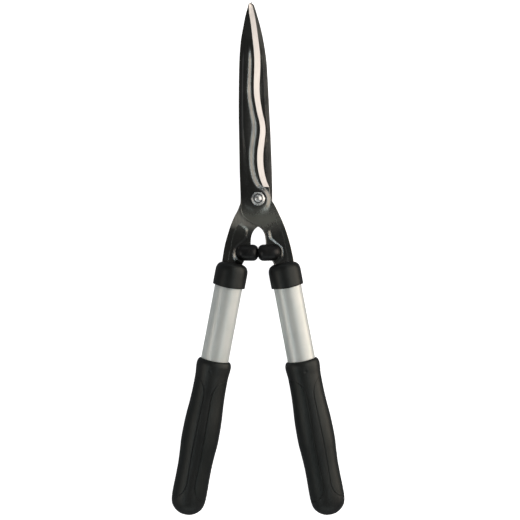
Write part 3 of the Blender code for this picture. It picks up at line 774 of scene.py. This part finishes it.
tube_material = anodised()
for side, side_name, body in ((1, "right", "front_half"), (-1, "left", "rear_half")):
    down = [(TUBE_TOP, TUBE_EDGE), (TUBE_TOP + TUBE_EDGE, 0.0)] + [(ring, 0.0) for ring in TUBE_RINGS]
    foot = [(TUBE_END - TUBE_EDGE, 0.0), (TUBE_END, TUBE_EDGE), (TUBE_END, TUBE_WALL - 0.1)]
    up = [(ring, TUBE_WALL) for ring in reversed(TUBE_RINGS)] + [(TUBE_TOP, TUBE_WALL - 0.1)]
    section = down + foot + up + [(TUBE_TOP, TUBE_EDGE)]
    tube = turned([(along, TUBE_WIDE - inset, TUBE_DEEP - inset) for along, inset in section], 128)
    reach = TUBE_DEEP + 2
    drill = turned([(-reach, 0, 0), (-reach, PIN_HOLE_R, PIN_HOLE_R), (reach, PIN_HOLE_R, PIN_HOLE_R),
                    (reach, 0, 0)], 24)
    bmesh.ops.rotate(drill, verts=drill.verts, cent=(0, 0, 0), matrix=Matrix.Rotation(math.pi / 2, 3, "X"))
    bmesh.ops.translate(drill, verts=drill.verts, vec=(0, -PIN_DOWN, 0))
    shown(side_name + "_oval_tube", on_handle(carved(tube, drill), side), body, tube_material,
          [side_name + "_tube"], 25.0)


# Ferrules
# A moulded black collar covers the joint of tang and tube. Its top is rounded, with a slot where the
# tang goes in, and its lower rim dips along the middle of each broad side.

FERRULE_TOP = 72.4
FERRULE_OUTSIDE = [
    (0.0, 9.5, 8.2), (1.0, 12.4, 10.6), (2.6, 15.0, 12.4), (5.0, 16.6, 13.4), (8.0, 17.4, 13.9),
    (12.0, 17.55, 14.0), (25.0, 17.5, 14.0), (25.6, 17.3, 13.85), (25.9, 16.9, 13.5),
]
FERRULE_ROWS = 60
FERRULE_ROW_POWER = 1.6
RIM_DIP = 1.6
DIP_START = 8.0
DIP_RUN = 18.0
DIP_HALF = 17.6
BORE_GAP = 0.25
SLOT_HALF = 14.0
SLOT_DEEP = 5.0


def satin_plastic(name, tone, rough):
    """Black injection-moulded plastic: satin, with a fine spark-eroded texture and faint flow lines."""
    material, place = start_material(name)
    flow = grain(place, 45.0, detail=4.0)
    erosion = grain(place, 1800.0, detail=2.0)
    dark = (tone * 0.8, tone * 0.82, tone * 0.82)
    light = (tone * 1.25, tone * 1.24, tone * 1.2)
    colour = flow.between(0.3, 0.7).mix(dark, light)
    return finish_material(
        material, place, colour, rough + 0.10 * erosion + 0.05 * flow, 0.0, erosion, 0.00003,
        Specular_IOR_Level=0.42, Specular_Tint=(0.93, 1.0, 0.97, 1.0))


def ferrule(side):
    """The collar, made along -Y: down its outside, round the rim, and back up its bore."""
    wide = [(d, a) for d, a, b in FERRULE_OUTSIDE]
    deep = [(d, b) for d, a, b in FERRULE_OUTSIDE]
    last = FERRULE_OUTSIDE[-1][0]
    stations = [(FERRULE_TOP, 0.0, 0.0), (FERRULE_TOP, 6.0, 5.2)]
    downs = [last * (row / FERRULE_ROWS) ** FERRULE_ROW_POWER for row in range(FERRULE_ROWS + 1)]
    stations += [(FERRULE_TOP + d, flowing(wide, d), flowing(deep, d)) for d in downs]
    bore_a, bore_b = TUBE_WIDE + BORE_GAP, TUBE_DEEP + BORE_GAP
    stations += [
        (FERRULE_TOP + last, bore_a + 0.7, bore_b + 0.9), (FERRULE_TOP + last - 0.4, bore_a, bore_b),
        (TUBE_TOP - GAP, bore_a, bore_b), (TUBE_TOP - GAP, 0.0, 0.0),
    ]
    bm = turned(stations, 128)
    for v in bm.verts:
        down = -v.co.y - FERRULE_TOP
        if down > DIP_START:
            across = (1 - (v.co.x / DIP_HALF) ** 2) ** 1.5
            v.co.y -= RIM_DIP * across * ((down - DIP_START) / DIP_RUN) ** 3
    plate = side * (GAP + STEEL) / 2
    heights = sorted((plate - side * (STEEL / 2 + GAP), plate + side * (STEEL / 2 + EMBOSS + GAP)))
    return carved(bm, box_between(
        (-SLOT_HALF, -TUBE_TOP - 1, heights[0]), (SLOT_HALF, -FERRULE_TOP + SLOT_DEEP, heights[1])))


ferrule_material = satin_plastic("ferrule_plastic", 0.009, 0.32)
for side, side_name, body in ((1, "right", "front_half"), (-1, "left", "rear_half")):
    shown(side_name + "_collar", on_handle(ferrule(side), side), body, ferrule_material,
          [side_name + "_ferrule"], 38.0)


# Grips
# A hard black core is pushed over the tube's end. A soft panel is let into each of its narrow sides,
# which leaves a band of core showing along the front and the back. The waist and the swell fit a hand.

GRIP_TOP = 178.7
GRIP_OUTSIDE = [
    (0, 15.9, 11.0), (0.7, 16.9, 11.9), (2.6, 18.1, 12.75), (6.0, 18.8, 13.2), (11.0, 18.6, 13.0),
    (17.0, 18.0, 12.6), (36.0, 18.0, 12.5), (50.0, 18.7, 12.9), (62.0, 19.6, 13.6), (74.0, 20.1, 14.0),
    (90.0, 20.1, 14.0), (101.0, 19.3, 13.5), (115.0, 18.5, 13.0), (130.0, 18.45, 13.0),
    (145.0, 18.7, 13.2), (154.0, 18.3, 12.9), (160.4, 16.7, 11.9), (165.0, 13.3, 9.5), (168.0, 9.2, 6.7),
    (169.6, 5.0, 3.7), (170.1, 0.0, 0.0),
]
PAD_TOP = 199.0
PAD_END = 330.0
PAD_THICK = 1.2
BAND_HALF = [(199, 4.6), (222, 4.0), (242, 4.5), (275, 5.0), (292, 4.8), (307, 4.3), (330, 4.6)]
BAND_SHIFT = {1: 2.0, -1: 0.0}
PAD_TOP_ROUND = 20.0
PAD_END_ROUND = 17.0
PAD_REACH = 12.4
PAD_LEAST_COS = 0.965
PAD_ROUND = 0.6
PAD_DROP = 0.2
SEAM = 0.2
# The seams' columns lie at this angle before they are moved, and the pocket's wall is one step wide.
SEAM_ANGLE = math.radians(60)
SEAM_STEP = math.radians(2)
SEAM_RETURN = 8.0
TOP_DIP = 1.2
TOP_DIP_RUN = 12.0
TOP_DIP_HALF = 19.0


def grip_size(along):
    """Half width and half depth of the grip at a place down the handle."""
    down = along - GRIP_TOP
    return (
        flowing([(d, a) for d, a, b in GRIP_OUTSIDE], down),
        flowing([(d, b) for d, a, b in GRIP_OUTSIDE], down),
    )


def seam_offset(along):
    """Distance of the pads' seams from the middle of the band, at a place down the handle."""
    turn = max(0.0, 1 - (along - PAD_TOP) / PAD_TOP_ROUND, 1 - (PAD_END - along) / PAD_END_ROUND)
    return flowing(BAND_HALF, along) + PAD_REACH * (1 - math.sqrt(max(1 - turn ** 2, 0)))


def pad_limit(along, pad_side, shift):
    """Half the angle that a pad takes up round the grip."""
    inside = min(max(along, PAD_TOP), PAD_END)
    across = (seam_offset(inside) + pad_side * shift) / grip_size(inside)[0]
    limit = math.acos(min(across, PAD_LEAST_COS))
    return min(limit + abs(along - inside) / SEAM_RETURN, max(limit, SEAM_ANGLE))


def mark_depth(along, across, side):
    """Shallow marks left by the mould: a round dimple near the top and a ring near the end."""
    dimple = math.hypot(along - 191.0, across - side * 2.1)
    ring = abs(math.hypot(along - 331.5, across) - 2.2)
    return 0.35 * ramp((1.8 - dimple) / 0.7, 0.1) + 0.25 * max(0.0, 1 - ring / 0.7)


def grip_core(side):
    """The core with its two shallow pockets, made along -Y. Its columns follow the pads' seams."""
    length = GRIP_OUTSIDE[-1][0]
    rows, cap = 250, 12
    downs = [length * row / rows for row in range(rows - cap + 1)]
    downs += [length * (1 - cap / rows * ((cap - step) / cap) ** 1.7) for step in range(1, cap + 1)]
    stations = [(GRIP_TOP + down, *grip_size(GRIP_TOP + down)) for down in downs]
    stations[-1] = (stations[-1][0], 0.0, 0.0)
    bore_a, bore_b = TUBE_WIDE + BORE_GAP, TUBE_DEEP + BORE_GAP
    bore = [(TUBE_END + GAP, 0, 0), (TUBE_END + GAP, bore_a, bore_b), (GRIP_TOP + 1, bore_a, bore_b),
            (GRIP_TOP, bore_a + 0.4, bore_b + 0.4)]
    bm = turned(bore + stations, 180)
    shift = BAND_SHIFT[side]
    for v in bm.verts:
        along = -v.co.y
        a, b = grip_size(along)
        across, up = v.co.x, v.co.z
        dip = (1 - min(abs(across) / TOP_DIP_HALF, 1.0) ** 2) ** 1.5
        v.co.y -= TOP_DIP * dip * max(0.0, 1 - (along - GRIP_TOP) / TOP_DIP_RUN) ** 2
        if a < 1 or (across / a) ** 2 + (up / b) ** 2 < 0.97 or along < GRIP_TOP + 6:
            continue
        angle = math.atan2(up / b, across / a)
        pad_side = 1 if abs(angle) < math.pi / 2 else -1
        turn = min(abs(angle), math.pi - abs(angle))
        limit = pad_limit(along, pad_side, shift)
        width = SEAM / b
        stops = [(0, 0), (SEAM_ANGLE, limit + 0.6 * width), (SEAM_ANGLE + SEAM_STEP, limit + 1.4 * width),
                 (math.pi / 2, math.pi / 2)]
        to = straight(stops, turn)
        sunk = 0.0
        if turn < SEAM_ANGLE + 0.01:
            ends = min(along - PAD_TOP, PAD_END - along)
            sunk = (PAD_THICK + GAP) * ramp((ends + SEAM) / 0.5 + 0.5, 0.2)
        if up > 0:
            sunk += mark_depth(along, pad_side * a * math.cos(to), side)
        v.co.x = pad_side * (a - sunk) * math.cos(to)
        v.co.z = math.copysign((b - sunk) * math.sin(to), up)
    return bm


def grip_pad(pad_side, shift):
    """One soft panel, made along -Y: its outer skin, then its thickness inwards."""
    rows, columns = 170, 72
    bm = bmesh.new()
    bmesh.ops.create_grid(bm, x_segments=columns, y_segments=rows, size=0.5)
    edge = {}
    for v in bm.verts:
        along = PAD_TOP + (PAD_END - PAD_TOP) * (1 - math.sin(math.pi * v.co.y)) / 2
        a, b = grip_size(along)
        limit = pad_limit(along, pad_side, shift)
        angle = limit * 2 * v.co.x
        edge[v] = max(0.0, 1 - a * (1 - 2 * abs(v.co.x)) * limit / PAD_ROUND)
        v.co = (pad_side * a * math.cos(angle), -along, b * math.sin(angle))
    outer = list(bm.verts)
    made = bmesh.ops.extrude_face_region(bm, geom=bm.faces[:])
    for v in [g for g in made["geom"] if isinstance(g, bmesh.types.BMVert)]:
        a, b = grip_size(-v.co.y)
        v.co.x *= (a - PAD_THICK) / a
        v.co.z *= (b - PAD_THICK) / b
    for v in outer:
        a, b = grip_size(-v.co.y)
        v.co.x *= 1 - PAD_DROP * edge[v] ** 2 / a
        v.co.z *= 1 - PAD_DROP * edge[v] ** 2 / b
    return bm


def grip_rubber():
    """Soft matt elastomer with a fine even grain."""
    material, place = start_material("grip_rubber")
    flow = grain(place, 60.0, detail=4.0)
    skin = grain(place, 2400.0, detail=2.0)
    colour = flow.between(0.3, 0.7).mix((0.0055, 0.0064, 0.0062), (0.0085, 0.0092, 0.0088))
    return finish_material(
        material, place, colour, 0.36 + 0.10 * skin, 0.0, skin, 0.00005,
        Specular_IOR_Level=0.44, Specular_Tint=(0.93, 1.0, 0.97, 1.0))


core_material = satin_plastic("grip_plastic", 0.011, 0.33)
pad_material = grip_rubber()
for side, side_name, body in ((1, "right", "front_half"), (-1, "left", "rear_half")):
    shown(side_name + "_grip_body", on_handle(grip_core(side), side), body, core_material,
          [side_name + "_grip_core"], 40.0)
    for pad_name, pad_side in (("_outer_pad", side), ("_inner_pad", -side)):
        pad = on_handle(grip_pad(pad_side, BAND_SHIFT[side]), side)
        shown(side_name + pad_name + "_skin", pad, body, pad_material,
              [side_name + pad_name], 40.0)


# Studio
# The shears lie on a plain pale table under soft light. A broad warm panel stands to the right, narrow
# panels on both sides draw lines along the crests, and little light comes from straight above, so that
# the flat steel stays dark. The camera looks straight down.

def plain_floor():
    """Pale matt table with a faint fibre pattern and an even glow of its own."""
    material, place = start_material("pale_table")
    fibre = grain(place, 30.0)
    colour = fibre.mix((0.93, 0.93, 0.93), (0.95, 0.95, 0.95))
    return finish_material(
        material, place, colour, 0.9, Emission_Color=(1, 1, 1, 1), Emission_Strength=1.0)


floor_bm = bmesh.new()
bmesh.ops.create_grid(floor_bm, x_segments=4, y_segments=4, size=12.0)
bmesh.ops.translate(floor_bm, verts=floor_bm.verts, vec=(0, 0, cad_low.z - 0.0001))
floor_mesh = bpy.data.meshes.new("table_top")
floor_bm.to_mesh(floor_mesh)
floor_bm.free()
floor_mesh.materials.append(plain_floor())
floor = bpy.data.objects.new("table_top", floor_mesh)
bpy.context.collection.objects.link(floor)
floor.visible_glossy = False


def soft_light(name, at, aim, size, power, colour):
    """A rectangular soft light, sizes in metres and power in watts."""
    light = bpy.data.lights.new(name, "AREA")
    light.shape = "RECTANGLE"
    light.size, light.size_y = size
    light.energy = power
    light.color = colour
    lamp = bpy.data.objects.new(name, light)
    lamp.location = at
    lamp.rotation_euler = (Vector(aim) - Vector(at)).to_track_quat("-Z", "Y").to_euler()
    lamp.visible_camera = False
    bpy.context.collection.objects.link(lamp)


centre = (0, -0.06, 0)
soft_light("warm_side", (1.15, 0.25, 0.97), (0, 0.25, 0), (1.4, 1.4), 11.0, (1.0, 0.90, 0.81))
soft_light("dim_right", (0.42, 0.05, 1.25), (0, 0.05, 0), (1.6, 0.40), 0.36, (1.0, 0.96, 0.88))
soft_light("cool_right", (0.40, -0.06, 1.20), centre, (1.8, 0.06), 1.3, (0.80, 0.93, 1.0))
soft_light("warm_left", (-0.95, -0.38, 1.0), (0, -0.38, 0), (0.8, 0.30), 1.7, (1.0, 0.88, 0.77))
soft_light("cool_left", (-0.60, -0.48, 1.08), (0, -0.48, 0), (0.8, 0.10), 0.9, (0.80, 0.93, 1.0))
soft_light("warm_low", (1.5, 0.25, 0.32), (0, 0.25, 0), (1.4, 0.55), 4.8, (1.0, 0.82, 0.66))
soft_light("foot", (0, -1.6, 0.9), centre, (1.6, 0.6), 2.4, (0.94, 1.0, 0.97))
soft_light("head", (0, 1.5, 0.9), centre, (1.6, 0.6), 1.2, (0.94, 1.0, 0.97))

world = bpy.data.worlds.new("studio")
world.use_nodes = True
sky = Wire(world.node_tree).node("TexCoord", {}, {}, output=0)
up = sky.node("SeparateXYZ", {}, {0: sky}, output=2)
shade = up.between(0.45, 0.93).mix((0.18, 0.19, 0.20), (0.045, 0.046, 0.045))
background = world.node_tree.nodes["Background"]
world.node_tree.links.new(shade.socket, background.inputs["Color"])
background.inputs["Strength"].default_value = 1.0
bpy.context.scene.world = world
bpy.context.scene.view_settings.view_transform = "Standard"

camera_data = bpy.data.cameras.new("camera")
camera_data.sensor_width = 36.0
camera_data.lens = 64.1
camera = bpy.data.objects.new("camera", camera_data)
camera.location = (0.00205, -0.0656, 1.0123)
bpy.context.collection.objects.link(camera)
bpy.context.scene.camera = camera
